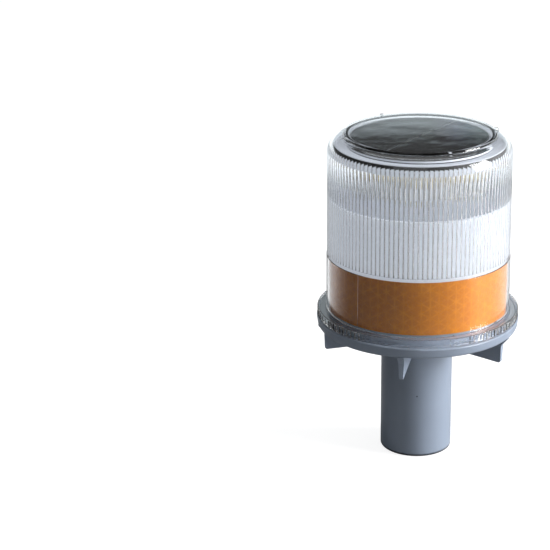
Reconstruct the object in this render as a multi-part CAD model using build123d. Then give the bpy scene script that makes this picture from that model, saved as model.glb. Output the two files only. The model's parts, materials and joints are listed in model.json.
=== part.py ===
"""Solar warning lamp for a traffic cone or barrier post.

A grey moulded base has a round stem, a flange and five fins under it. A clear ribbed lens with a
band of amber reflective tape is held on the base by a bayonet. Inside are a white cup, an LED tower
and a round solar panel, and the stem holds the battery and a push switch.

Origin: bottom centre of the stem, +Z up, millimetres. A bearing is an angle in degrees about +Z,
counted from the front (-Y) towards +X, so it grows anticlockwise seen from above.
"""
import os
from math import cos, radians, sin

from build123d import *

# --- Driving dimensions ---------------------------------------------------------------------------
TOTAL_HEIGHT = 164.2
GAP = 0.3                      # clearance between bodies that move against each other

STEM_R = 17.75
STEM_WALL = 2.0
STEM_BORE_R = STEM_R - STEM_WALL
STEM_PLAIN_TOP = 55.0          # the plain round part of the stem ends just under the fins
STEM_ROOT_R = 17.95            # the stem widens slightly up to the flange

FLANGE_BOTTOM = 66.0
FLANGE_FLOOR = 69.0            # floor inside the collar
LEDGE_TOP = 71.2               # where the lens flange sits
RIM_R = 50.2
RIM_DRAFT = 0.8                # how much smaller the rim is at its lower edge

FIN_COUNT = 5
FIN_FIRST_BEARING = -9.0
FIN_ROOT_THICK = 3.2
FIN_TIP_THICK = 1.8
FIN_TIP_BOTTOM = 53.5
FIN_ROOT_BOTTOM = 56.0
FIN_TIP_R = 46.3
FIN_TOP_R = 46.6

COLLAR_OUT_R = 43.1
COLLAR_IN_R = 40.7
COLLAR_TOP = 79.0

LUG_COUNT = 3
LUG_FIRST_BEARING = 30.0
LUG_HALF_ANGLE = 6.0
LUG_TIP_R = 42.1
LUG_BOTTOM = 71.9
LUG_TOP = 74.3
TWIST_ANGLE = 25.0             # turn from locked to the lift-off slots
TWIST_SLACK = 0.8              # extra groove at each end, degrees

LENS_FOOT = LEDGE_TOP + GAP
LENS_FLANGE_TOP = 75.5
LENS_FLANGE_R = 49.8
LENS_FOOT_R = 45.3
LENS_SHOULDER_R = 44.8
LENS_SHOULDER_Z = 162.0        # where wall and shoulder would meet without the rounding
SHOULDER_RADIUS = 8.0
LENS_WALL = 1.8
WINDOW_FOOT_R = 37.3
WINDOW_R = 37.0
WINDOW_FOOT_Z = 162.9
WINDOW_THICK = 1.8
NUB_BEARINGS = (22.0, 104.0, 210.0, 283.0)

RIB_COUNT = 120
RIB_BOTTOM = 104.2
RIB_TOP = 158.4                # the ribs fade into the shoulder just below this
RIB_VALLEY_R = 43.1
RIB_TIP_R = 42.4

TAPE_WALL = 1.3                # lens wall in front of the tape
TAPE_STEP = 0.25               # how far that wall stands proud of the ribbed part
TAPE_BOTTOM = 76.2
TAPE_TOP = 102.4
TAPE_THICK = 0.25
TAPE_AIR = 0.05                # air gap between the lens and the tape
TAPE_SEAM_BEARING = -40.0
TAPE_SEAM_ANGLE = 0.4

CUP_R = 42.0
CUP_SKIRT_R = 40.3
CUP_WALL = 2.0
DECK_TOP = 131.0
DECK_THICK = 2.0
CUP_LIP_TOP = 132.0

# A screw's size is its head's radius and height, and its shank's radius.
SCREW_BEARINGS = (27.0, 147.0, 267.0)
CUP_SCREW_R = 36.2
CUP_SCREW = (2.9, 2.1, 1.4)
CUP_SCREW_TIP = 81.0
BOARD_POST_BEARINGS = (87.0, 207.0, 327.0)
BOARD_POST_R = 22.0
BOARD_SCREW = (2.1, 1.4, 0.95)
BOARD_SCREW_TIP = 72.3
BOARD_BOTTOM = 76.7
BOARD_THICK = 1.6
BOARD_R = 27.0
BOARD_TOP = BOARD_BOTTOM + BOARD_THICK

TOWER_R = 12.0
TOWER_BORE_R = 9.0
TOWER_SCREW_R = 10.5
TOWER_SCREW_BEARINGS = (0.0, 120.0, 240.0)
TRAY_SCREW_BEARINGS = (60.0, 180.0, 300.0)
TOWER_SCREW = (1.9, 1.3, 0.85)
TOWER_PILOT_R = 0.9
TOWER_PILOT_DEPTH = 7.5
LED_COUNT = 6
LED_Z = 144.0
LED_BACK_R = 13.8
LED_BOARD_R = 22.0
LED_BOARD_THICK = 1.6
LED_R = 2.5
LED_COLLAR_R = 2.9
LED_BARREL = 6.2
LED_LEG_SPREAD = 1.27

TRAY_R = 41.0
TRAY_BOTTOM = 153.6
TRAY_FLOOR = 155.2
TRAY_TOP = 158.2
TRAY_LIP_TOP = 158.9
TRAY_SEAL_BOTTOM = 156.4
TRAY_SEAL_TOP = 158.4
PANEL_R = 34.2
PAD_THICK = 0.6
SUBSTRATE_THICK = 1.1
CELL_THICK = 0.25
PANEL_TOP = 160.8
BUS_BEARING = 180.0 - 31.5     # the bus ribbon's direction across the panel

CAP_BOTTOM = 0.5
CAP_TOP = 3.6
CAP_R = 15.45
BUTTON_R = 3.6
BUTTON_BOTTOM = 0.9
SWITCH_BOTTOM = 6.4
SWITCH_TOP = 12.4

HOLDER_BOTTOM = 14.5
HOLDER_TOP = 70.4
CELL_R = 7.25
CELL_X = 7.5
CELL_BOTTOM = 18.5
CELL_LENGTH = 50.0

LEAD_R = 0.6
BLEND = 0.3                    # how far pieces of one solid run into each other


# --- Helpers --------------------------------------------------------------------------------------
def polar(r, bearing, z=0.0):
    """The point at radius r and bearing, at height z."""
    return (r * sin(radians(bearing)), -r * cos(radians(bearing)), z)


def disc(r, z0, z1, at=(0.0, 0.0)):
    """An upright cylinder from z0 to z1."""
    foot = (Align.CENTER, Align.CENTER, Align.MIN)
    return Pos(at[0], at[1], z0) * Cylinder(r, z1 - z0, align=foot)


def discs(r, z0, z1, ring_r, bearings):
    """One upright cylinder at each bearing, on a circle of radius ring_r."""
    return [disc(r, z0, z1, polar(ring_r, b)[:2]) for b in bearings]


def box(x0, x1, y0, y1, z0, z1):
    """A box given by its limits."""
    return Pos((x0 + x1) / 2, (y0 + y1) / 2, (z0 + z1) / 2) * Box(x1 - x0, y1 - y0, z1 - z0)


def outline(*corners):
    """A closed (r, z) face; a corner may carry a fillet radius as a third value."""
    points = [(c[0], c[1]) for c in corners]
    radii = [c[2] if len(c) > 2 else 0.0 for c in corners]
    return Plane.XZ * make_face(FilletPolyline(*points, radius=radii, close=True))


def turned(*corners):
    """A solid of revolution about Z."""
    return revolve(outline(*corners), Axis.Z)


def sector(r0, r1, z0, z1, bearing_0, bearing_1):
    """A ring section between two bearings."""
    face = outline((r0, z0), (r1, z0), (r1, z1), (r0, z1))
    return Rot(0, 0, bearing_0 - 90) * revolve(face, Axis.Z, bearing_1 - bearing_0)


def at_bearing(shape, bearing):
    """Turns a shape built along +X, or about it, to a bearing."""
    return Rot(0, 0, bearing - 90) * shape


def lead(*points):
    """A round wire along straight runs, joined by arcs as large as the runs allow."""
    corners = [Vector(*p) for p in points]
    radii = []
    for before, here, after in zip(corners, corners[1:], corners[2:]):
        shorter = min((here - before).length, (after - here).length)
        turn = (here - before).get_angle(after - here)
        radii.append(0.45 * shorter * cos(radians(turn / 2)) / sin(radians(turn / 2)))
    path = FilletPolyline(*points, radius=radii)
    return sweep(Plane(path @ 0, z_dir=path % 0) * Circle(LEAD_R), path)


def save(name, shape):
    """Writes one node; a list becomes a group of separate solids."""
    if isinstance(shape, (list, tuple)):
        shape = Compound(children=list(shape))
    shape.label = name
    export_step(shape, f"parts/{name}.step")


# --- Base -----------------------------------------------------------------------------------------
GASKET_IN_R = 45.6
GASKET_OUT_R = 48.4
GASKET_FLOOR = 69.6


def fin():
    """One radial fin under the flange, with draft towards its lower edge."""
    side = outline(
        (STEM_R - 1.0, FLANGE_BOTTOM + BLEND),
        (FIN_TOP_R + 3.0, FLANGE_BOTTOM + BLEND),
        (FIN_TOP_R + 2.6, FLANGE_BOTTOM - 0.2),
        (FIN_TOP_R, FLANGE_BOTTOM - 3.0, 3.0),
        (FIN_TIP_R, FIN_TIP_BOTTOM, 1.2),
        (STEM_R - 1.0, FIN_ROOT_BOTTOM),
    )
    plate = extrude(side, FIN_ROOT_THICK, both=True)
    top = FIN_ROOT_THICK / 2
    low = FIN_TIP_THICK / 2
    section = Plane.YZ * make_face(
        Polyline(
            (-top, FLANGE_BOTTOM + BLEND),
            (top, FLANGE_BOTTOM + BLEND),
            (low, FIN_TIP_BOTTOM - 0.1),
            (-low, FIN_TIP_BOTTOM - 0.1),
            close=True,
        )
    )
    return plate & extrude(section, RIM_R)


def bayonet_slots():
    """Grooves in the collar: a long one for the turn, and an open one for lift-off."""
    floor_r = LUG_TIP_R - GAP
    outside = COLLAR_OUT_R + 1.0
    cuts = []
    for i in range(LUG_COUNT):
        start = LUG_FIRST_BEARING + i * 360.0 / LUG_COUNT - LUG_HALF_ANGLE - TWIST_SLACK
        end = start + TWIST_ANGLE + 2 * (LUG_HALF_ANGLE + TWIST_SLACK)
        entry = end - 2 * (LUG_HALF_ANGLE + TWIST_SLACK)
        cuts.append(sector(floor_r, outside, LUG_BOTTOM - GAP, LUG_TOP + GAP, start, end))
        cuts.append(sector(floor_r, outside, LUG_TOP, COLLAR_TOP + 1.0, entry, end))
    return cuts


CAP_SCREW_Y = 11.3
CAP_POST_TOP = 11.4


def cap_posts():
    """Two screw posts on the stem's inner wall for the end cap."""
    posts = []
    for side in (-1, 1):
        y = side * CAP_SCREW_Y
        post = disc(2.4, CAP_TOP, CAP_POST_TOP, (0.0, y))
        web = box(-1.2, 1.2, min(y, side * 16.2), max(y, side * 16.2), CAP_TOP, CAP_POST_TOP)
        posts.append(post + web)
    return posts


def base_housing():
    shell = turned(
        (STEM_BORE_R, 0.0, 0.4),
        (STEM_R, 0.0, 1.2),
        (STEM_R, STEM_PLAIN_TOP),
        (STEM_ROOT_R, FLANGE_BOTTOM, 1.0),
        (RIM_R - RIM_DRAFT, FLANGE_BOTTOM, 1.4),
        (RIM_R, LEDGE_TOP, 0.6),
        (GASKET_OUT_R, LEDGE_TOP),
        (GASKET_OUT_R, GASKET_FLOOR),
        (GASKET_IN_R, GASKET_FLOOR),
        (GASKET_IN_R, LEDGE_TOP),
        (COLLAR_OUT_R, LEDGE_TOP),
        (COLLAR_OUT_R, COLLAR_TOP, 0.5),
        (COLLAR_IN_R, COLLAR_TOP, 0.5),
        (COLLAR_IN_R, FLANGE_FLOOR),
        (STEM_BORE_R, FLANGE_FLOOR),
    )
    for i in range(FIN_COUNT):
        shell += at_bearing(fin(), FIN_FIRST_BEARING + i * 360.0 / FIN_COUNT)
    post_foot = FLANGE_FLOOR - BLEND
    for post in discs(3.0, post_foot, BOARD_BOTTOM, BOARD_POST_R, BOARD_POST_BEARINGS):
        shell += post
    for post in cap_posts():
        shell += post
    shell -= bayonet_slots()
    shell -= discs(1.0, FLANGE_FLOOR + 0.8, BOARD_BOTTOM + 1.0, BOARD_POST_R, BOARD_POST_BEARINGS)
    shell -= discs(1.7, FLANGE_BOTTOM - 1.0, FLANGE_FLOOR + 1.0, CUP_SCREW_R, SCREW_BEARINGS)
    for side in (-1, 1):
        shell -= disc(1.25, CAP_TOP - 1.0, CAP_POST_TOP - 0.8, (0.0, side * CAP_SCREW_Y))
    return shell


def flange_gasket():
    return turned(
        (GASKET_IN_R + 0.1, GASKET_FLOOR),
        (GASKET_OUT_R - 0.1, GASKET_FLOOR),
        (GASKET_OUT_R - 0.1, LEDGE_TOP, 0.4),
        (GASKET_IN_R + 0.1, LEDGE_TOP, 0.4),
    )


CROSS_SLOT = 0.5
CROSS_DEPTH = 0.6


def pan_screw(x, y, head_z, tip_z, size):
    """A pan-head screw; its tip may point up or down from the head's seat."""
    head_r, head_high, shank_r = size
    up = 1 if tip_z > head_z else -1
    low_head = min(head_z, head_z - up * head_high)
    head = disc(head_r, low_head, low_head + head_high, (x, y))
    outer = head.faces().sort_by(Axis.Z)[0 if up > 0 else -1]
    head = fillet(outer.edges(), head_high * 0.4)
    shank = disc(shank_r, min(head_z, tip_z), max(head_z, tip_z), (x, y))
    recess = Box(head_r * 1.2, CROSS_SLOT, CROSS_DEPTH * 2) + Box(CROSS_SLOT, head_r * 1.2, CROSS_DEPTH * 2)
    return head + shank - Pos(x, y, head_z - up * head_high) * recess


def screws(ring_r, bearings, head_z, tip_z, size):
    """The same screw at each bearing."""
    spots = [polar(ring_r, b) for b in bearings]
    return [pan_screw(x, y, head_z, tip_z, size) for x, y, _ in spots]


# --- Inner cup and electronics --------------------------------------------------------------------
CUP_STEP_Z = COLLAR_TOP + GAP
CUP_BOSS_TOP = 86.3
LED_LEAD_R = 18.0
LED_LEAD_BEARING = SCREW_BEARINGS[2]
LEAD_SPREAD = 1.1
CONNECTOR_R = 19.0
CONNECTOR_HIGH = 4.5


def inner_cup():
    shell = turned(
        (CUP_SKIRT_R - CUP_WALL + 0.4, FLANGE_FLOOR),
        (CUP_SKIRT_R, FLANGE_FLOOR),
        (CUP_SKIRT_R, CUP_STEP_Z),
        (CUP_R, CUP_STEP_Z, 0.5),
        (CUP_R - 0.2, CUP_LIP_TOP, 0.6),
        (CUP_R - 1.6, CUP_LIP_TOP),
        (CUP_R - 1.6, DECK_TOP),
        (7.0, DECK_TOP),
        (7.0, DECK_TOP - DECK_THICK),
        (CUP_R - CUP_WALL, DECK_TOP - DECK_THICK, 1.0),
        (CUP_R - CUP_WALL, CUP_BOSS_TOP),
        (CUP_SKIRT_R - CUP_WALL + 0.4, CUP_BOSS_TOP),
    )
    for boss in discs(3.8, FLANGE_FLOOR, CUP_BOSS_TOP, CUP_SCREW_R, SCREW_BEARINGS):
        shell += boss
    shell -= discs(1.5, FLANGE_FLOOR - 1.0, CUP_BOSS_TOP - 2.0, CUP_SCREW_R, SCREW_BEARINGS)
    shell -= discs(1.3, DECK_TOP - 3.0, DECK_TOP + 1.0, TOWER_SCREW_R, TOWER_SCREW_BEARINGS)
    shell -= discs(2.4, DECK_TOP - 3.0, DECK_TOP + 1.0, LED_LEAD_R, (LED_LEAD_BEARING,))
    return shell


def control_board():
    board = disc(BOARD_R, BOARD_BOTTOM, BOARD_TOP) - disc(6.0, BOARD_BOTTOM - 1.0, BOARD_TOP + 1.0)
    holes = discs(1.2, BOARD_BOTTOM - 1.0, BOARD_TOP + 1.0, BOARD_POST_R, BOARD_POST_BEARINGS)
    return board - holes


def driver_chip():
    """A small-outline package with four legs on each long side."""
    body = box(-2.5, 2.5, -2.0, 2.0, BOARD_TOP + 0.2, BOARD_TOP + 1.8)
    for side in (-1, 1):
        for i in range(4):
            x = -1.9 + 1.27 * i
            far = side * 3.1
            near = side * 1.9
            body += box(x - 0.2, x + 0.2, min(near, far), max(near, far), BOARD_TOP, BOARD_TOP + 0.5)
    return Pos(*polar(14.0, 60.0)) * body


def capacitor():
    can = disc(4.0, BOARD_TOP + 0.4, BOARD_TOP + 11.0, polar(15.0, 180.0)[:2])
    can = fillet(can.edges(), 0.5)
    base = disc(3.2, BOARD_TOP, BOARD_TOP + 1.0, polar(15.0, 180.0)[:2])
    return can + base


def inductor():
    spool = turned(
        (0.0, BOARD_TOP),
        (4.2, BOARD_TOP),
        (4.2, BOARD_TOP + 1.0),
        (3.4, BOARD_TOP + 1.0, 0.3),
        (3.4, BOARD_TOP + 4.6, 0.3),
        (4.2, BOARD_TOP + 4.6),
        (4.2, BOARD_TOP + 5.6),
        (0.0, BOARD_TOP + 5.6),
    )
    return Pos(*polar(14.0, 300.0)) * spool


def board_connectors():
    """Three two-way wire headers with an open pocket on top."""
    shell = box(-2.5, 2.5, -3.5, 3.5, BOARD_TOP, BOARD_TOP + CONNECTOR_HIGH)
    shell -= box(-1.7, 1.7, -2.7, 2.7, BOARD_TOP + 2.0, BOARD_TOP + CONNECTOR_HIGH + 1.0)
    return [Pos(*polar(CONNECTOR_R, b)) * Rot(0, 0, b - 90) * shell for b in SCREW_BEARINGS]


def led_board():
    top = DECK_TOP + LED_BOARD_THICK
    hole_r = TOWER_R + 0.4
    return turned((hole_r, DECK_TOP), (LED_BOARD_R, DECK_TOP), (LED_BOARD_R, top), (hole_r, top))


def leds():
    """Round lamps that point outwards, each with two legs bent down to its board."""
    lamp = Rot(0, 90, 0) * (disc(LED_R, 0.0, LED_BARREL) + disc(LED_COLLAR_R, 0.0, 1.0))
    lamp += Pos(LED_BARREL, 0, 0) * Sphere(LED_R)
    drop = LED_Z - DECK_TOP - LED_BOARD_THICK
    for side in (-1, 1):
        y = side * LED_LEG_SPREAD
        lamp += box(-0.95, BLEND, y - 0.25, y + 0.25, -0.25, 0.25)
        lamp += box(-0.95, -0.45, y - 0.25, y + 0.25, -drop, 0.25)
    lamp = Pos(LED_BACK_R, 0, LED_Z) * lamp
    return [at_bearing(lamp, i * 360.0 / LED_COUNT) for i in range(LED_COUNT)]


def led_tower():
    shell = turned(
        (TOWER_BORE_R, DECK_TOP),
        (TOWER_R, DECK_TOP),
        (TOWER_R, TRAY_BOTTOM),
        (TOWER_BORE_R, TRAY_BOTTOM),
    )
    low = (DECK_TOP - 1.0, DECK_TOP + TOWER_PILOT_DEPTH)
    high = (TRAY_BOTTOM - TOWER_PILOT_DEPTH, TRAY_BOTTOM + 1.0)
    shell -= discs(TOWER_PILOT_R, *low, TOWER_SCREW_R, TOWER_SCREW_BEARINGS)
    shell -= discs(TOWER_PILOT_R, *high, TOWER_SCREW_R, TRAY_SCREW_BEARINGS)
    return shell


def reflector():
    """A shallow bright cone from the deck's lip up towards the lamps."""
    return turned(
        (23.2, DECK_TOP),
        (24.0, DECK_TOP),
        (24.0, DECK_TOP + 4.9),
        (38.6, DECK_TOP),
        (CUP_R - 1.7, DECK_TOP),
        (CUP_R - 1.7, DECK_TOP + 0.9),
        (24.3, DECK_TOP + 5.9),
        (23.2, DECK_TOP + 5.9),
    )


# --- Solar panel ----------------------------------------------------------------------------------
TRAY_SEAL_IN_R = TRAY_R - 0.8
PAD_TOP = TRAY_TOP + PAD_THICK
SUBSTRATE_TOP = PAD_TOP + SUBSTRATE_THICK
CELLS_TOP = SUBSTRATE_TOP + CELL_THICK
RIBBON_TOP = CELLS_TOP + 0.15
SILICON_R = 33.2
CELL_SLIT = 1.0
RIBBON_HALF_LENGTH = 19.0
RIBBON_HALF_WIDTH = 0.75


def panel_tray():
    tray = turned(
        (6.0, TRAY_BOTTOM),
        (33.0, TRAY_BOTTOM),
        (33.0, TRAY_BOTTOM + 2.2),
        (37.8, TRAY_BOTTOM + 2.2),
        (37.8, TRAY_BOTTOM),
        (TRAY_R, TRAY_BOTTOM, 0.3),
        (TRAY_R, TRAY_SEAL_BOTTOM),
        (TRAY_SEAL_IN_R, TRAY_SEAL_BOTTOM),
        (TRAY_SEAL_IN_R, TRAY_SEAL_TOP),
        (TRAY_R, TRAY_SEAL_TOP),
        (TRAY_R, TRAY_LIP_TOP, 0.15),
        (TRAY_R - 1.3, TRAY_LIP_TOP, 0.3),
        (TRAY_R - 1.6, TRAY_TOP),
        (31.0, TRAY_TOP),
        (31.0, TRAY_FLOOR),
        (6.0, TRAY_FLOOR),
    )
    return tray - discs(1.2, TRAY_BOTTOM - 1.0, TRAY_FLOOR + 1.0, TOWER_SCREW_R, TRAY_SCREW_BEARINGS)


def tray_seal():
    """A soft black band in the groove round the tray's rim."""
    return turned(
        (TRAY_SEAL_IN_R, TRAY_SEAL_BOTTOM),
        (TRAY_R + 0.2, TRAY_SEAL_BOTTOM, 0.3),
        (TRAY_R + 0.2, TRAY_SEAL_TOP, 0.3),
        (TRAY_SEAL_IN_R, TRAY_SEAL_TOP),
    )


def panel_pad():
    return turned((31.4, TRAY_TOP), (33.6, TRAY_TOP), (33.6, PAD_TOP), (31.4, PAD_TOP))


def panel_substrate():
    return disc(PANEL_R, PAD_TOP, SUBSTRATE_TOP)


def solar_cell(side):
    """Half of a round silicon wafer, on one side of the bus line."""
    wafer = disc(SILICON_R, SUBSTRATE_TOP, CELLS_TOP)
    x0, x1 = sorted((side * CELL_SLIT / 2, side * 50.0))
    half = box(x0, x1, -50.0, 50.0, SUBSTRATE_TOP - 1.0, CELLS_TOP + 1.0)
    return Rot(0, 0, BUS_BEARING) * (Rot(0, 0, -BUS_BEARING) * wafer & half)


def bus_ribbon():
    strip = box(
        -RIBBON_HALF_WIDTH, RIBBON_HALF_WIDTH, -RIBBON_HALF_LENGTH, RIBBON_HALF_LENGTH,
        CELLS_TOP, RIBBON_TOP,
    )
    return Rot(0, 0, BUS_BEARING) * strip


def panel_encapsulant(pieces_inside):
    """Clear resin poured over the cells."""
    resin = disc(PANEL_R, SUBSTRATE_TOP, PANEL_TOP)
    rim = resin.faces().sort_by(Axis.Z)[-1].edges()
    resin = fillet(rim, 0.5)
    return resin - pieces_inside


# --- Lens -----------------------------------------------------------------------------------------
def lens_radius(z):
    """The outer wall's radius above the tape, which shrinks slightly upwards."""
    fall = (z - LENS_FLANGE_TOP) / (LENS_SHOULDER_Z - LENS_FLANGE_TOP)
    return LENS_FOOT_R - TAPE_STEP + (LENS_SHOULDER_R - LENS_FOOT_R + TAPE_STEP) * fall


def scalloped_ring():
    """The ribs: one round-faced rib every three degrees on the inner wall."""
    step = 360.0 / RIB_COUNT
    arcs = []
    for i in range(RIB_COUNT):
        start = polar(RIB_VALLEY_R, i * step)
        middle = polar(RIB_TIP_R, (i + 0.5) * step)
        end = polar(RIB_VALLEY_R, (i + 1) * step)
        arcs.append(ThreePointArc(start, middle, end))
    inner = make_face(arcs)
    ring = make_face(CenterArc((0, 0), RIB_VALLEY_R + 0.5, 0, 360)) - inner
    return Pos(0, 0, RIB_BOTTOM) * extrude(ring, RIB_TOP - RIB_BOTTOM)


def grip_teeth():
    """The serrated edge of the lens flange."""
    step = 360.0 / RIB_COUNT
    root_r = LENS_FLANGE_R - 0.5
    points = []
    for i in range(RIB_COUNT):
        points.append(polar(root_r, i * step))
        points.append(polar(LENS_FLANGE_R, (i + 0.3) * step))
        points.append(polar(LENS_FLANGE_R, (i + 0.6) * step))
        points.append(polar(root_r, (i + 0.9) * step))
    ring = make_face(Polyline(*points, close=True)) - make_face(CenterArc((0, 0), root_r - 1.0, 0, 360))
    return Pos(0, 0, LENS_FOOT + 0.3) * extrude(ring, LENS_FLANGE_TOP - LENS_FOOT - 0.6)


def lens_cover():
    step_z = TAPE_TOP + 0.4
    inner_foot_r = LENS_FOOT_R - TAPE_WALL
    inner_step_r = lens_radius(step_z) + TAPE_STEP - TAPE_WALL
    rib_wall_r = RIB_VALLEY_R + 0.1
    flange_r = LENS_FLANGE_R - 0.4
    shell = turned(
        (inner_foot_r, LENS_FOOT),
        (flange_r, LENS_FOOT, 0.3),
        (flange_r, LENS_FLANGE_TOP, 0.5),
        (LENS_FOOT_R, LENS_FLANGE_TOP, 0.4),
        (lens_radius(step_z) + TAPE_STEP, step_z, 0.12),
        (lens_radius(step_z), step_z + 0.2),
        (LENS_SHOULDER_R, LENS_SHOULDER_Z, SHOULDER_RADIUS),
        (WINDOW_FOOT_R, WINDOW_FOOT_Z, 0.4),
        (WINDOW_R, TOTAL_HEIGHT, 0.7),
        (0.0, TOTAL_HEIGHT),
        (0.0, TOTAL_HEIGHT - WINDOW_THICK),
        (WINDOW_R - 2.2, TOTAL_HEIGHT - WINDOW_THICK, 0.4),
        (WINDOW_R - 1.2, WINDOW_FOOT_Z - LENS_WALL, 0.4),
        (rib_wall_r, LENS_SHOULDER_Z - LENS_WALL, SHOULDER_RADIUS - LENS_WALL),
        (rib_wall_r, step_z + 1.2, 0.5),
        (inner_step_r, step_z, 0.3),
    )
    shell += scalloped_ring()
    shell += grip_teeth()
    for i in range(LUG_COUNT):
        middle = LUG_FIRST_BEARING + i * 360.0 / LUG_COUNT
        shell += sector(
            LUG_TIP_R, inner_foot_r + 0.5, LUG_BOTTOM, LUG_TOP,
            middle - LUG_HALF_ANGLE, middle + LUG_HALF_ANGLE,
        )
    nub = box(WINDOW_R - 0.8, WINDOW_R + 2.0, -0.8, 0.8, WINDOW_FOOT_Z - 1.0, TOTAL_HEIGHT - 0.2)
    for bearing in NUB_BEARINGS:
        shell += at_bearing(nub, bearing)
    return shell


def reflective_tape():
    """One turn of tape inside the lens wall, whose ends meet at a fine seam."""
    inwards = TAPE_STEP - TAPE_WALL - TAPE_AIR
    low = LENS_FOOT_R - TAPE_STEP + inwards
    high = lens_radius(TAPE_TOP) + inwards
    face = outline(
        (low - TAPE_THICK, TAPE_BOTTOM),
        (low, TAPE_BOTTOM),
        (high, TAPE_TOP),
        (high - TAPE_THICK, TAPE_TOP),
    )
    band = revolve(face, Axis.Z, 360.0 - TAPE_SEAM_ANGLE)
    return Rot(0, 0, TAPE_SEAM_BEARING + TAPE_SEAM_ANGLE / 2 - 90) * band


# --- Stem: end cap, switch, battery ---------------------------------------------------------------
CAP_SCREW = (2.1, 1.3, 1.2)
CAP_WELL_DEPTH = 1.7
GUIDE_IN_R = 5.2
GUIDE_OUT_R = 6.6
FLANGE_OF_BUTTON_R = 4.6


def stem_cap():
    """A round plug with a seal groove, screw wells and a guide ring for the button."""
    cap = turned(
        (BUTTON_R + GAP, CAP_BOTTOM, 0.3),
        (CAP_R, CAP_BOTTOM, 0.3),
        (CAP_R, CAP_BOTTOM + 0.7),
        (14.2, CAP_BOTTOM + 0.7),
        (14.2, CAP_BOTTOM + 2.3),
        (CAP_R, CAP_BOTTOM + 2.3),
        (CAP_R, CAP_TOP),
        (GUIDE_OUT_R, CAP_TOP),
        (GUIDE_OUT_R, SWITCH_BOTTOM),
        (GUIDE_IN_R, SWITCH_BOTTOM),
        (GUIDE_IN_R, CAP_TOP),
        (BUTTON_R + GAP, CAP_TOP),
    )
    for side in (-1, 1):
        cap -= disc(2.4, CAP_BOTTOM - 1.0, CAP_BOTTOM + CAP_WELL_DEPTH, (0.0, side * CAP_SCREW_Y))
        cap -= disc(1.4, CAP_BOTTOM, CAP_TOP + 1.0, (0.0, side * CAP_SCREW_Y))
    return cap


def cap_seal():
    return Pos(0, 0, CAP_BOTTOM + 1.5) * Torus(14.97, 0.74)


def cap_screws():
    seat = CAP_BOTTOM + CAP_WELL_DEPTH
    return [pan_screw(0.0, side * CAP_SCREW_Y, seat, seat + 7.0, CAP_SCREW) for side in (-1, 1)]


def power_button():
    """The push button: it moves up into the switch when pressed."""
    return turned(
        (0.0, BUTTON_BOTTOM),
        (BUTTON_R, BUTTON_BOTTOM, 0.5),
        (BUTTON_R, CAP_TOP + 0.1),
        (FLANGE_OF_BUTTON_R, CAP_TOP + 0.1),
        (FLANGE_OF_BUTTON_R, CAP_TOP + 0.9),
        (1.4, CAP_TOP + 0.9),
        (1.4, SWITCH_BOTTOM + 1.8),
        (0.0, SWITCH_BOTTOM + 1.8),
    )


def switch_body():
    """A latching push switch that stands on the cap's guide ring."""
    body = box(-5.5, 5.5, -4.5, 4.5, SWITCH_BOTTOM, SWITCH_TOP)
    body = fillet(body.edges().filter_by(Axis.Z), 0.6)
    body -= disc(1.8, SWITCH_BOTTOM - 1.0, SWITCH_BOTTOM + 4.4)
    for x in (-2.0, 2.0):
        body += box(x - 0.4, x + 0.4, -3.6, -3.2, SWITCH_TOP - BLEND, SWITCH_TOP + 1.4)
    return body


def battery_holder():
    """A cradle for two cells side by side, open at the front and back."""
    body = disc(15.3, HOLDER_BOTTOM, FLANGE_FLOOR) + disc(18.5, FLANGE_FLOOR, HOLDER_TOP)
    body &= box(-20.0, 20.0, -4.0, 9.0, HOLDER_BOTTOM, HOLDER_TOP)
    for x in (-CELL_X, CELL_X):
        body -= disc(CELL_R + 0.15, HOLDER_BOTTOM + 1.2, CELL_BOTTOM + CELL_LENGTH + 0.5, (x, 0.0))
    return body


def battery_cells():
    """Two cylindrical rechargeable cells, one of them the other way up."""
    cell = disc(CELL_R, 0.0, CELL_LENGTH - 1.2)
    cell = fillet(cell.edges(), 0.6)
    cell += disc(2.6, CELL_LENGTH - 1.2 - BLEND, CELL_LENGTH)
    up = Pos(CELL_X, 0, CELL_BOTTOM) * cell
    down = Pos(-CELL_X, 0, CELL_BOTTOM + CELL_LENGTH) * Rot(180, 0, 0) * cell
    return [up, down]


def contact_springs():
    """A coil under each cell, drawn compressed."""
    pitch = 0.95
    height = CELL_BOTTOM - HOLDER_BOTTOM - 1.2 - 2 * 0.35
    coils = []
    for x in (-CELL_X, CELL_X):
        path = Helix(pitch=pitch, height=height, radius=3.4)
        section = Plane(path @ 0, z_dir=path % 0) * Circle(0.3)
        coil = sweep(section, path, is_frenet=True)
        coils.append(Pos(x, 0, HOLDER_BOTTOM + 1.2 + 0.35) * coil)
    return coils


def contact_strap():
    """The plate that links the two cells at the top."""
    z = CELL_BOTTOM + CELL_LENGTH
    strap = box(-CELL_X - 3.0, -CELL_X + 3.0, -3.0, 3.0, z, z + 0.4)
    return [strap, Pos(2 * CELL_X, 0, 0) * strap]


# --- Leads ----------------------------------------------------------------------------------------
def header_entry(bearing, side):
    """Where one of a header's two wires goes in, as (x, y)."""
    x, y, _ = polar(CONNECTOR_R, bearing)
    across = (Rot(0, 0, bearing - 90) * Pos(0, side * LEAD_SPREAD, 0)).position
    return x + across.X, y + across.Y


def battery_lead(side):
    """From the holder's top, through the board's centre, to the rear header."""
    x = side * LEAD_SPREAD
    end_x, end_y = header_entry(SCREW_BEARINGS[1], -side)
    return lead(
        (x, -1.0, HOLDER_TOP),
        (x, -0.6, BOARD_TOP + 8.0),
        (end_x * 0.55, end_y * 0.55, BOARD_TOP + 14.0),
        (end_x, end_y, BOARD_TOP + 10.0),
        (end_x, end_y, BOARD_TOP + 2.0),
    )


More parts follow.
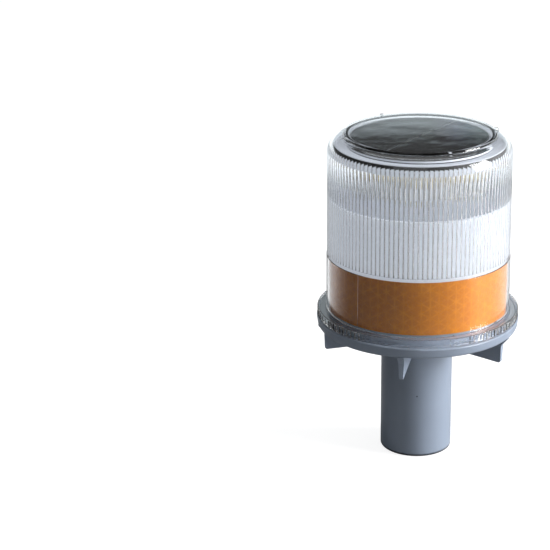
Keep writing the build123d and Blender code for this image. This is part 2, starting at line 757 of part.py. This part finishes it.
def switch_leads():
    """From the switch, up the stem's front channel, to the front header."""
    pair = []
    for side in (-1, 1):
        end_x, end_y = header_entry(SCREW_BEARINGS[0], side)
        pair.append(
            lead(
                (side * 2.0, -4.4, SWITCH_TOP + 0.6),
                (side * 2.0, -7.5, SWITCH_TOP + 2.4),
                (side * 2.0, -10.2, SWITCH_TOP + 8.0),
                (side * 2.0, -10.4, 56.0),
                (side * 2.0, -4.6, BOARD_BOTTOM - 2.0),
                (side * 2.2, -3.6, BOARD_TOP + 6.0),
                (end_x * 0.5 + side, end_y * 0.55, BOARD_TOP + 13.0),
                (end_x, end_y, BOARD_TOP + 10.0),
                (end_x, end_y, BOARD_TOP + 2.0),
            )
        )
    return pair


def led_leads():
    """From the third header, up through the deck, to the LED board."""
    pair = []
    for side in (-1, 1):
        low_x, low_y = header_entry(LED_LEAD_BEARING, side)
        top_x, top_y, _ = polar(LED_LEAD_R, LED_LEAD_BEARING)
        top_y += low_y - polar(CONNECTOR_R, LED_LEAD_BEARING)[1]
        pair.append(
            lead(
                (low_x, low_y, BOARD_TOP + 2.0),
                (low_x, low_y, 95.0),
                (low_x - 4.0, low_y + 1.5, 108.0),
                (top_x, top_y, 121.0),
                (top_x, top_y, DECK_TOP),
            )
        )
    return pair


def panel_lead(side):
    """From the panel's underside, down the tower's bore, to the board's top."""
    low_x, low_y, _ = polar(20.0, 245.0 if side > 0 else 225.0)
    return lead(
        (side * 2.4, 1.0, PAD_TOP),
        (side * 2.4, 1.0, 138.0),
        (side * 3.0, 2.0, 122.0),
        (low_x * 0.6, low_y * 0.6, 104.0),
        (low_x, low_y, 92.0),
        (low_x, low_y, BOARD_TOP),
    )


# --- Write one STEP file for each node ------------------------------------------------------------
def main():
    os.makedirs("parts", exist_ok=True)
    save("base_housing", base_housing())
    save("flange_gasket", flange_gasket())
    save("inner_cup", inner_cup())
    save("cup_screws", screws(CUP_SCREW_R, SCREW_BEARINGS, FLANGE_BOTTOM, CUP_SCREW_TIP, CUP_SCREW))
    save("control_board", control_board())
    board_screws = screws(BOARD_POST_R, BOARD_POST_BEARINGS, BOARD_TOP, BOARD_SCREW_TIP, BOARD_SCREW)
    save("board_screws", board_screws)
    save("driver_chip", driver_chip())
    save("capacitor", capacitor())
    save("inductor", inductor())
    save("board_connectors", board_connectors())
    save("led_board", led_board())
    save("leds", leds())
    save("led_tower", led_tower())
    deck_under = DECK_TOP - DECK_THICK
    tip = DECK_TOP + 6.0
    save("tower_screws", screws(TOWER_SCREW_R, TOWER_SCREW_BEARINGS, deck_under, tip, TOWER_SCREW))
    save("reflector", reflector())
    save("panel_tray", panel_tray())
    tip = TRAY_BOTTOM - 6.0
    save("tray_screws", screws(TOWER_SCREW_R, TRAY_SCREW_BEARINGS, TRAY_FLOOR, tip, TOWER_SCREW))
    save("tray_seal", tray_seal())
    save("panel_pad", panel_pad())
    save("panel_substrate", panel_substrate())
    left = solar_cell(-1)
    right = solar_cell(1)
    ribbon = bus_ribbon()
    save("solar_cell_left", left)
    save("solar_cell_right", right)
    save("bus_ribbon", ribbon)
    save("panel_encapsulant", panel_encapsulant([left, right, ribbon]))
    save("lens_cover", lens_cover())
    save("reflective_tape", reflective_tape())
    save("stem_cap", stem_cap())
    save("cap_seal", cap_seal())
    save("cap_screws", cap_screws())
    save("power_button", power_button())
    save("switch_body", switch_body())
    save("battery_holder", battery_holder())
    save("battery_cells", battery_cells())
    save("contact_springs", contact_springs())
    save("contact_strap", contact_strap())
    save("battery_lead_red", battery_lead(1))
    save("battery_lead_black", battery_lead(-1))
    save("switch_leads", switch_leads())
    save("led_leads", led_leads())
    save("panel_lead_red", panel_lead(1))
    save("panel_lead_black", panel_lead(-1))


main()
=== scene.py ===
import json
import math

import bpy
from mathutils import Matrix, Vector


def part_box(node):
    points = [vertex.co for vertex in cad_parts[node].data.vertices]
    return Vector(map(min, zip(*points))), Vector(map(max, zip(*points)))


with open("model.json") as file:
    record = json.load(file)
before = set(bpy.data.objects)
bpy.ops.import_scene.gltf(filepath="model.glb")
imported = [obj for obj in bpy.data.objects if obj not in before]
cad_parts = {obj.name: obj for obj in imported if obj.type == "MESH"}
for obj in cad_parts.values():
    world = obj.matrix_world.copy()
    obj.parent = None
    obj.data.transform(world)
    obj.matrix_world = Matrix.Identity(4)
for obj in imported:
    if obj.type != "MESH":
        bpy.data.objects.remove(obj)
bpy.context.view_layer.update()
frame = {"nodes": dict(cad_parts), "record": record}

MM = 0.001

# --- Places, taken from the frame -----------------------------------------------------------------
TAPE_LOW, TAPE_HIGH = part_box("reflective_tape")
PANEL_LOW, PANEL_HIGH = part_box("panel_substrate")
CAP_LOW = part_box("stem_cap")[0]


# --- Shader helpers -------------------------------------------------------------------------------
def node(tree, kind, inputs=None, **props):
    """Adds a shader node; an input is a value or another node's output."""
    made = tree.nodes.new("ShaderNode" + kind)
    for key, value in props.items():
        setattr(made, key, value)
    for key, value in (inputs or {}).items():
        if isinstance(value, bpy.types.NodeSocket):
            tree.links.new(value, made.inputs[key])
        else:
            made.inputs[key].default_value = value
    return made


def calc(tree, operation, a, b=0.0, c=0.0):
    """One arithmetic step."""
    return node(tree, "Math", {0: a, 1: b, 2: c}, operation=operation).outputs[0]


def noise(tree, coords, scale, detail=4.0, roughness=0.55):
    """Cloudy noise at a number of cells for each metre."""
    values = {"Vector": coords, "Scale": scale, "Detail": detail, "Roughness": roughness}
    return node(tree, "TexNoise", values).outputs[0]


def spread(tree, value, low, high, out_low, out_high):
    """Maps low..high to out_low..out_high, held at the ends."""
    inputs = {0: value, 1: low, 2: high, 3: out_low, 4: out_high}
    return node(tree, "MapRange", inputs).outputs[0]


def mixed(tree, fac, a, b):
    """Mixes two colours."""
    made = node(tree, "Mix", data_type="RGBA")
    for index, value in ((0, fac), (6, a), (7, b)):
        if isinstance(value, bpy.types.NodeSocket):
            tree.links.new(value, made.inputs[index])
        elif index:
            made.inputs[index].default_value = (*value[:3], 1.0)
        else:
            made.inputs[index].default_value = value
    return made.outputs[2]


def stretched(tree, coords, x, y, z):
    """Coordinates scaled along each axis."""
    return node(tree, "Mapping", {0: coords, 3: (x, y, z)}).outputs[0]


def relief(tree, height, depth):
    """A bumped normal; depth is what a height of 1 stands for, in metres."""
    return node(tree, "Bump", {"Height": height, "Distance": depth, "Strength": 1.0}).outputs[0]


def new_material(name):
    """A material with one Principled shader; returns it, its tree, its shader and object coordinates."""
    mat = bpy.data.materials.new(name)
    mat.use_nodes = True
    tree = mat.node_tree
    shader = tree.nodes["Principled BSDF"]
    coords = node(tree, "TexCoord").outputs["Object"]
    return mat, tree, shader, coords


def feed(tree, shader, **inputs):
    """Sets or links the Principled shader's sockets; _ stands for a space."""
    for key, value in inputs.items():
        socket = shader.inputs[key.replace("_", " ")]
        if isinstance(value, bpy.types.NodeSocket):
            tree.links.new(value, socket)
        else:
            socket.default_value = value


def tint(color, factor):
    """A colour made lighter or darker."""
    return tuple(min(1.0, c * factor) for c in color)


# --- Materials ------------------------------------------------------------------------------------
def moulded(name, color, rough=0.45, patch=0.10, grain=0.02, grain_size=0.5, edge=0.25, coat=0.0):
    """Moulded plastic or rubber: mottled colour, fine grain, flow streaks and paler rubbed edges."""
    mat, tree, shader, coords = new_material(name)
    cloud = noise(tree, coords, 38.0, 3.0)
    flow = noise(tree, stretched(tree, coords, 260.0, 260.0, 22.0), 1.0, 3.0)
    mottle = spread(tree, cloud, 0.3, 0.7, 0.0, 1.0)
    shade = mixed(tree, mottle, tint(color, 1 - patch), tint(color, 1 + patch))
    shade = mixed(tree, spread(tree, flow, 0.35, 0.65, 0.0, 0.5), shade, tint(color, 1 - patch * 0.7))
    worn = node(tree, "NewGeometry").outputs["Pointiness"]
    rubbed = calc(tree, "MULTIPLY", spread(tree, worn, 0.52, 0.62, 0.0, edge), noise(tree, coords, 420.0))
    shade = mixed(tree, rubbed, shade, tint(color, 1.8))
    fine = noise(tree, coords, 1000.0 / grain_size, 2.0)
    dull = calc(tree, "ADD", spread(tree, cloud, 0.3, 0.7, rough - 0.05, rough + 0.05),
                spread(tree, fine, 0.3, 0.7, -0.03, 0.03))
    feed(tree, shader, Base_Color=shade, Roughness=dull, Coat_Weight=coat, Coat_Roughness=0.12)
    feed(tree, shader, Normal=relief(tree, fine, grain * MM))
    return mat


STEM_RADIUS = 17.75 * MM
PIT_PLACE = (0.5 * MM, -STEM_RADIUS, 33.0 * MM)
SHADE_BAND = 1.3 * MM            # height of the band of painted shade along the stem's lower edge


def grey_housing():
    """Blue-grey moulding with painted shade along the stem's lower edge and one tiny moulding pit in the
    stem.
    """
    mat = moulded("grey_housing", (0.240, 0.285, 0.360), rough=0.36, patch=0.05, edge=0.45, coat=0.12)
    tree = mat.node_tree
    shader = tree.nodes["Principled BSDF"]
    coords = node(tree, "TexCoord").outputs["Object"]
    shade = shader.inputs["Base Color"].links[0].from_socket
    height = node(tree, "SeparateXYZ", {0: coords}).outputs[2]
    # Painted shade: the housing turns near black within about 1.5 mm of the stem's bottom, along a ragged
    # line.
    ragged = calc(tree, "ADD", height, calc(tree, "MULTIPLY", noise(tree, coords, 300.0), 0.5 * MM))
    lower_edge_shade = spread(tree, ragged, CAP_LOW.z + 0.6 * SHADE_BAND, CAP_LOW.z + 1.2 * SHADE_BAND, 0.92, 0.0)
    away = node(tree, "VectorMath", {0: coords, 1: PIT_PLACE}, operation="DISTANCE").outputs["Value"]
    pit = spread(tree, away, 0.25 * MM, 0.55 * MM, 0.8, 0.0)
    # Mixes in the near-black of the painted shade and of the moulding pit.
    feed(tree, shader, Base_Color=mixed(tree, calc(tree, "MAXIMUM", lower_edge_shade, pit), shade, (0.012, 0.014, 0.02)))
    return mat


MILKY_GLOW = 0.48


def milky_plastic():
    """Frosted white moulding; its glow stands in for the daylight that comes through it."""
    mat = moulded("white_plastic", (0.22, 0.23, 0.25), rough=0.5, patch=0.03)
    feed(mat.node_tree, mat.node_tree.nodes["Principled BSDF"], Emission_Color=(0.84, 0.90, 1.0, 1.0),
         Emission_Strength=MILKY_GLOW)
    return mat


def metal(name, color, rough=0.3, brushed=900.0):
    """Plated metal with fine scratches and cloudy dulling."""
    mat, tree, shader, coords = new_material(name)
    scratch = noise(tree, stretched(tree, coords, brushed, brushed, brushed * 0.05), 1.0, 4.0)
    cloud = noise(tree, coords, 160.0, 3.0)
    shade = mixed(tree, spread(tree, cloud, 0.35, 0.7, 0.0, 1.0), tint(color, 0.82), color)
    feed(tree, shader, Base_Color=shade, Metallic=1.0,
         Roughness=spread(tree, calc(tree, "ADD", scratch, cloud), 0.7, 1.3, rough * 0.7, rough * 1.4))
    feed(tree, shader, Normal=relief(tree, scratch, 0.01 * MM))
    return mat


def let_light_through(tree, shader, clear=0.92):
    """Shadow rays pass a clear piece, so that what is behind it is lit."""
    rays = node(tree, "LightPath").outputs["Is Shadow Ray"]
    open_air = node(tree, "BsdfTransparent", {0: (clear, clear, clear, 1.0)}).outputs[0]
    both = node(tree, "MixShader")
    tree.links.new(rays, both.inputs[0])
    tree.links.new(shader.outputs[0], both.inputs[1])
    tree.links.new(open_air, both.inputs[2])
    tree.links.new(both.outputs[0], tree.nodes["Material Output"].inputs["Surface"])


def clear_lens():
    """Clear moulded acrylic, with a faint cast waviness and tiny surface marks."""
    mat, tree, shader, coords = new_material("clear_lens")
    wave = noise(tree, coords, 55.0, 2.0)
    marks = noise(tree, coords, 700.0, 3.0)
    feed(tree, shader, Base_Color=mixed(tree, wave, (0.955, 0.975, 1.0), (0.985, 0.992, 1.0)))
    feed(tree, shader, Transmission_Weight=1.0, IOR=1.49)
    feed(tree, shader, Roughness=spread(tree, marks, 0.55, 0.8, 0.01, 0.07))
    feed(tree, shader, Normal=relief(tree, wave, 0.05 * MM))
    let_light_through(tree, shader)
    return mat


def panel_resin():
    """Clear cast resin over the cells, slightly wavy and slightly yellowed in patches."""
    mat, tree, shader, coords = new_material("panel_resin")
    wave = noise(tree, coords, 60.0, 3.0)
    feed(tree, shader, Base_Color=mixed(tree, wave, (0.90, 0.96, 0.98), (0.97, 0.98, 0.95)))
    feed(tree, shader, Transmission_Weight=1.0, IOR=1.5)
    feed(tree, shader, Roughness=spread(tree, wave, 0.3, 0.7, 0.02, 0.09))
    feed(tree, shader, Normal=relief(tree, wave, 0.08 * MM))
    let_light_through(tree, shader)
    return mat


# Painted reflection: the thin-film sheen's colours from the middle of the panel to its right edge.
PAINTED_SHEEN_RUN = (
    (0.00, (0.16, 0.22, 0.22)),
    (0.25, (0.24, 0.29, 0.22)),
    (0.45, (0.36, 0.22, 0.52)),
    (0.62, (0.16, 0.22, 0.72)),
    (0.80, (0.06, 0.42, 0.70)),
    (1.00, (0.10, 0.62, 0.52)),
)


def silicon():
    """Dark coated cells, near black at the front, lightened towards the back by a painted reflection: slate
    grey in the middle and a painted thin-film sheen of violet, blue and teal on the right.
    """
    mat, tree, shader, coords = new_material("silicon")
    x, y, z = node(tree, "SeparateXYZ", {0: coords}).outputs
    reach = (PANEL_HIGH.x - PANEL_LOW.x) / 2
    warp = noise(tree, coords, 45.0, 2.0)
    across = calc(tree, "ADD", calc(tree, "DIVIDE", x, reach), calc(tree, "MULTIPLY", warp, 0.25))
    # The painted thin-film sheen, running from the panel's middle to its right edge.
    cast = node(tree, "ValToRGB", {0: across}).outputs[0]
    ramp = cast.node.color_ramp
    ramp.elements[0].color = (*PAINTED_SHEEN_RUN[0][1], 1)
    ramp.elements[1].color = (*PAINTED_SHEEN_RUN[-1][1], 1)
    for place, color in PAINTED_SHEEN_RUN[1:-1]:
        ramp.elements.new(place).color = (*color, 1)
    # Painted reflection: the cells lighten from near black at the front to the painted sheen towards the
    # back.
    inwards = calc(tree, "ADD", calc(tree, "DIVIDE", y, reach), calc(tree, "MULTIPLY", warp, 0.6))
    depth = spread(tree, inwards, -0.35, 0.75, 0.0, 1.0)
    shade = mixed(tree, depth, (0.012, 0.017, 0.026), cast)
    speck = noise(tree, coords, 900.0, 2.0)
    shade = mixed(tree, spread(tree, speck, 0.45, 0.7, 0.0, 0.3), shade, (0.05, 0.07, 0.08))
    feed(tree, shader, Base_Color=shade, Metallic=0.9, Roughness=spread(tree, speck, 0.3, 0.7, 0.16, 0.30))
    feed(tree, shader, Normal=relief(tree, speck, 0.01 * MM))
    return mat


TAPE_CELL = 4.2 * MM            # width of one hexagonal cell


def amber_tape():
    """Prismatic sheeting: amber film over small hexagonal cells with paler sealed seams."""
    mat, tree, shader, coords = new_material("amber_tape")
    x, y, z = node(tree, "SeparateXYZ", {0: coords}).outputs
    radius = (TAPE_HIGH.x - TAPE_LOW.x) / 2
    around = calc(tree, "MULTIPLY", calc(tree, "ARCTAN2", y, x), radius)
    bars = []
    for turn in (0.0, 60.0, 120.0):
        along = calc(tree, "MULTIPLY", around, math.cos(math.radians(turn)) / TAPE_CELL)
        up = calc(tree, "MULTIPLY", z, math.sin(math.radians(turn)) / TAPE_CELL)
        saw = calc(tree, "FRACT", calc(tree, "ADD", along, up))
        bars.append(calc(tree, "ABSOLUTE", calc(tree, "SUBTRACT", saw, 0.5)))
    ridge = calc(tree, "MAXIMUM", calc(tree, "MAXIMUM", bars[0], bars[1]), bars[2])
    valley = calc(tree, "MINIMUM", calc(tree, "MINIMUM", bars[0], bars[1]), bars[2])
    lines = spread(tree, ridge, 0.36, 0.48, 0.0, 1.0)
    dots = spread(tree, valley, 0.0, 0.14, 1.0, 0.0)
    cloud = noise(tree, coords, 110.0, 5.0)
    fine = noise(tree, coords, 1300.0, 3.0)
    blotch = noise(tree, stretched(tree, coords, 1.0, 1.0, 0.6), 420.0, 2.0)
    shade = mixed(tree, spread(tree, cloud, 0.3, 0.7, 0.0, 1.0), (0.50, 0.150, 0.003), (0.58, 0.188, 0.004))
    pale = calc(tree, "MULTIPLY", lines, spread(tree, blotch, 0.35, 0.65, 0.04, 0.30))
    shade = mixed(tree, pale, shade, (0.95, 0.42, 0.03))
    shade = mixed(tree, calc(tree, "MULTIPLY", dots, 0.22), shade, (0.46, 0.13, 0.006))
    shade = mixed(tree, spread(tree, fine, 0.4, 0.7, 0.0, 0.25), shade, (0.52, 0.16, 0.008))
    feed(tree, shader, Base_Color=shade, Metallic=0.25, Specular_IOR_Level=0.15)
    feed(tree, shader, Roughness=spread(tree, fine, 0.3, 0.7, 0.30, 0.46))
    feed(tree, shader, Normal=relief(tree, calc(tree, "ADD", lines, fine), 0.012 * MM))
    return mat


def bright_reflector():
    """Vacuum-metallised plastic with faint ripples."""
    mat, tree, shader, coords = new_material("bright_reflector")
    ripple = noise(tree, coords, 240.0, 3.0)
    cloud = noise(tree, coords, 50.0, 3.0)
    feed(tree, shader, Base_Color=mixed(tree, cloud, (0.80, 0.82, 0.85), (0.92, 0.93, 0.95)), Metallic=1.0)
    feed(tree, shader, Roughness=spread(tree, ripple, 0.3, 0.7, 0.10, 0.24))
    feed(tree, shader, Normal=relief(tree, ripple, 0.06 * MM))
    return mat


def board(name, color, trace):
    """A printed board: solder mask over faintly raised copper tracks."""
    mat, tree, shader, coords = new_material(name)
    tracks = node(tree, "TexBrick", {0: coords, "Scale": 420.0, "Mortar Size": 0.03}).outputs["Fac"]
    cloud = noise(tree, coords, 300.0, 3.0)
    shade = mixed(tree, cloud, tint(color, 0.85), tint(color, 1.15))
    shade = mixed(tree, calc(tree, "MULTIPLY", tracks, 0.6), shade, trace)
    feed(tree, shader, Base_Color=shade, Roughness=spread(tree, cloud, 0.3, 0.7, 0.25, 0.4))
    feed(tree, shader, Normal=relief(tree, tracks, 0.03 * MM))
    return mat


def led_resin():
    """Cast lamp resin: pale and translucent, with tiny bubbles."""
    mat, tree, shader, coords = new_material("led_resin")
    cloud = noise(tree, coords, 900.0, 3.0)
    feed(tree, shader, Base_Color=mixed(tree, cloud, (0.95, 0.80, 0.50), (1.0, 0.92, 0.72)))
    feed(tree, shader, Transmission_Weight=0.6, IOR=1.5)
    feed(tree, shader, Roughness=spread(tree, cloud, 0.3, 0.7, 0.06, 0.16))
    return mat


def all_materials():
    """One finished material for each of the record's slots."""
    return {
        "grey_housing": grey_housing(),
        "clear_lens": clear_lens(),
        "amber_tape": amber_tape(),
        "gasket": moulded("gasket", (0.30, 0.32, 0.35), rough=0.6),
        "white_plastic": milky_plastic(),
        "black_plastic": moulded("black_plastic", (0.022, 0.024, 0.028), rough=0.42, patch=0.2),
        "bright_reflector": bright_reflector(),
        "green_board": board("green_board", (0.02, 0.16, 0.07), (0.05, 0.28, 0.12)),
        "white_board": board("white_board", (0.78, 0.79, 0.79), (0.62, 0.63, 0.62)),
        "led_resin": led_resin(),
        "screw_steel": metal("screw_steel", (0.60, 0.61, 0.63), 0.30),
        "spring_steel": metal("spring_steel", (0.68, 0.68, 0.70), 0.25),
        "tinned_copper": metal("tinned_copper", (0.80, 0.78, 0.72), 0.28),
        "chip_epoxy": moulded("chip_epoxy", (0.035, 0.035, 0.04), rough=0.55),
        "capacitor_sleeve": moulded("capacitor_sleeve", (0.03, 0.035, 0.07), rough=0.3, coat=0.4),
        "coil_core": moulded("coil_core", (0.07, 0.06, 0.06), rough=0.5, patch=0.25),
        "connector_nylon": moulded("connector_nylon", (0.74, 0.70, 0.60), rough=0.5),
        "cell_jacket": moulded("cell_jacket", (0.05, 0.28, 0.18), rough=0.28, coat=0.5),
        "black_rubber": moulded("black_rubber", (0.02, 0.02, 0.02), rough=0.65, grain=0.04),
        "foam_tape": moulded("foam_tape", (0.03, 0.03, 0.033), rough=0.85, grain=0.12, grain_size=0.4),
        "panel_backing": moulded("panel_backing", (0.74, 0.77, 0.82), rough=0.3, patch=0.05),
        "silicon": silicon(),
        "panel_resin": panel_resin(),
        "button_plastic": moulded("button_plastic", (0.45, 0.03, 0.025), rough=0.4),
        "red_wire": moulded("red_wire", (0.50, 0.02, 0.015), rough=0.35, coat=0.3),
        "black_wire": moulded("black_wire", (0.02, 0.02, 0.02), rough=0.35, coat=0.3),
        "white_wire": moulded("white_wire", (0.72, 0.72, 0.70), rough=0.35, coat=0.3),
    }


def dress_nodes(materials):
    """Gives every CAD node the finished material of its slot."""
    for part in frame["record"]["subparts"]:
        piece = frame["nodes"][part["node"]]
        for place in piece.material_slots:
            place.material = materials[part["material_slot"]]


# --- Stage, light and camera ----------------------------------------------------------------------
FLOOR_SIZE = 6.0
FLOOR_GLOW = 0.86               # makes the floor read as plain white
LENS_MM = 125.65
VIEW_ELEVATION = math.radians(20.2)
VIEW_DISTANCE = 0.955
VIEW_AIM = Vector((0.0, 0.0, 0.085))
LAMP_RIGHT = math.radians(4.255)      # how far the lamp stands to the right of the view's middle
LAMP_DOWN = math.radians(0.260)
CAMERA_ROLL = math.radians(0.90)


def add_floor():
    """A plain pale floor, white to the eye and, behind the lamp, to rays that come out of the lens."""
    half = FLOOR_SIZE / 2
    mesh = bpy.data.meshes.new("floor")
    corners = [(-half, -half, 0), (half, -half, 0), (half, half, 0), (-half, half, 0)]
    mesh.from_pydata(corners, [], [(0, 1, 2, 3)])
    floor = bpy.data.objects.new("floor", mesh)
    bpy.context.scene.collection.objects.link(floor)
    mat, tree, shader, coords = new_material("floor")
    cloud = noise(tree, coords, 3.0, 3.0)
    feed(tree, shader, Base_Color=mixed(tree, cloud, (0.36, 0.36, 0.36), (0.38, 0.38, 0.38)), Roughness=0.7)
    behind = spread(tree, node(tree, "SeparateXYZ", {0: coords}).outputs[1], 0.0, 0.15, 0.0, 1.0)
    rays = node(tree, "LightPath").outputs
    through = calc(tree, "MULTIPLY", rays["Is Transmission Ray"], behind)
    seen = calc(tree, "MAXIMUM", rays["Is Camera Ray"], through)
    glow = calc(tree, "MULTIPLY", seen, FLOOR_GLOW)
    feed(tree, shader, Emission_Color=(1.0, 1.0, 1.0, 1.0), Emission_Strength=glow)
    mesh.materials.append(mat)


def add_world():
    """Bright low behind the lamp, to its right and overhead, dark elsewhere, and plain white to the eye.

    Rays that come out of the lens see a white band low behind the lamp as well.
    """
    world = bpy.data.worlds.new("studio")
    bpy.context.scene.world = world
    world.use_nodes = True
    tree = world.node_tree
    way = node(tree, "SeparateXYZ", {0: node(tree, "TexCoord").outputs["Generated"]})
    x, y, z = way.outputs
    behind = spread(tree, y, 0.0, 0.5, 0.0, 1.0)
    horizon = spread(tree, z, 0.08, 0.22, 0.9, 0.04)
    back = calc(tree, "MULTIPLY", behind, horizon)
    right = spread(tree, x, 0.3, 0.85, 0.0, 0.7)
    top = spread(tree, z, 0.55, 0.95, 0.0, 0.45)
    total = calc(tree, "ADD", calc(tree, "MAXIMUM", calc(tree, "MAXIMUM", back, right), top), 0.04)
    tent = calc(tree, "MULTIPLY", spread(tree, y, 0.0, 0.3, 0.0, 0.95), spread(tree, z, 0.05, 0.2, 1.0, 0.0))
    rays = node(tree, "LightPath").outputs
    inside = calc(tree, "MULTIPLY", rays["Is Transmission Ray"], tent)
    level = calc(tree, "MAXIMUM", calc(tree, "MAXIMUM", total, inside), rays["Is Camera Ray"])
    tree.links.new(level, tree.nodes["Background"].inputs["Strength"])
    tree.nodes["Background"].inputs["Color"].default_value = (1.0, 1.0, 1.0, 1.0)


def add_light(name, place, aim, size, power, color=(1.0, 1.0, 1.0), through_lens=False):
    """A soft rectangular light that looks at a point; through_lens shows it to rays out of the lens."""
    lamp = bpy.data.lights.new(name, "AREA")
    lamp.shape = "RECTANGLE"
    lamp.size, lamp.size_y = size
    lamp.energy = power
    lamp.color = color
    holder = bpy.data.objects.new(name, lamp)
    holder.location = place
    holder.rotation_euler = (Vector(aim) - Vector(place)).to_track_quat("-Z", "Y").to_euler()
    holder.visible_camera = False
    holder.visible_transmission = through_lens
    bpy.context.scene.collection.objects.link(holder)


def add_camera():
    """Looks down at the lamp, aimed left of it, so that the lamp stands right of the middle."""
    data = bpy.data.cameras.new("camera")
    data.lens = LENS_MM
    data.sensor_width = 36.0
    data.clip_start = 0.01
    data.clip_end = 50.0
    camera = bpy.data.objects.new("camera", data)
    back = Vector((0.0, -math.cos(VIEW_ELEVATION), math.sin(VIEW_ELEVATION)))
    camera.location = VIEW_AIM + back * VIEW_DISTANCE
    straight = (-back).to_track_quat("-Z", "Y").to_matrix()
    aside = Matrix.Rotation(LAMP_RIGHT, 3, "Y") @ Matrix.Rotation(LAMP_DOWN, 3, "X")
    level = Matrix.Rotation(CAMERA_ROLL, 3, "Z")
    camera.rotation_euler = (straight @ aside @ level).to_euler()
    bpy.context.scene.collection.objects.link(camera)
    bpy.context.scene.camera = camera


BACK_CARD_Y = 0.45
BACK_CARD_WIDTH = 1.2
# Each card's lower and upper edge in metres, and its brightness.
BACK_CARDS = ((0.0, 0.284, 0.5), (0.284, 0.2875, 0.38), (0.2875, 0.291, 0.26), (0.291, 0.2945, 0.14))


def light_the_stage():
    """Two soft lights, and cards behind the lamp that the solar panel mirrors, dimmer with height."""
    scene = bpy.context.scene
    scene.view_settings.view_transform = "Standard"
    scene.cycles.use_denoising = True
    scene.cycles.transmission_bounces = 16
    scene.cycles.transparent_max_bounces = 16
    scene.cycles.max_bounces = 20
    scene.cycles.caustics_reflective = False
    middle = (0.0, 0.0, 0.09)
    add_light("key_right", (1.0, -0.14, 0.34), middle, (0.5, 0.8), 22.0)
    add_light("fill_front", (-0.25, -1.1, 0.9), middle, (0.9, 0.6), 1.4, (0.93, 0.96, 1.0))
    for low, high, glow in BACK_CARDS:
        place = (0.05, BACK_CARD_Y, (low + high) / 2)
        size = (BACK_CARD_WIDTH, high - low)
        power = glow * math.pi * size[0] * size[1]
        add_light("back_card", place, (place[0], 0.0, place[2]), size, power, (0.82, 0.95, 1.0), True)


# --- Build ----------------------------------------------------------------------------------------
def main():
    """Dresses the lamp and sets the stage."""
    dress_nodes(all_materials())
    add_floor()
    add_world()
    light_the_stage()
    add_camera()


main()
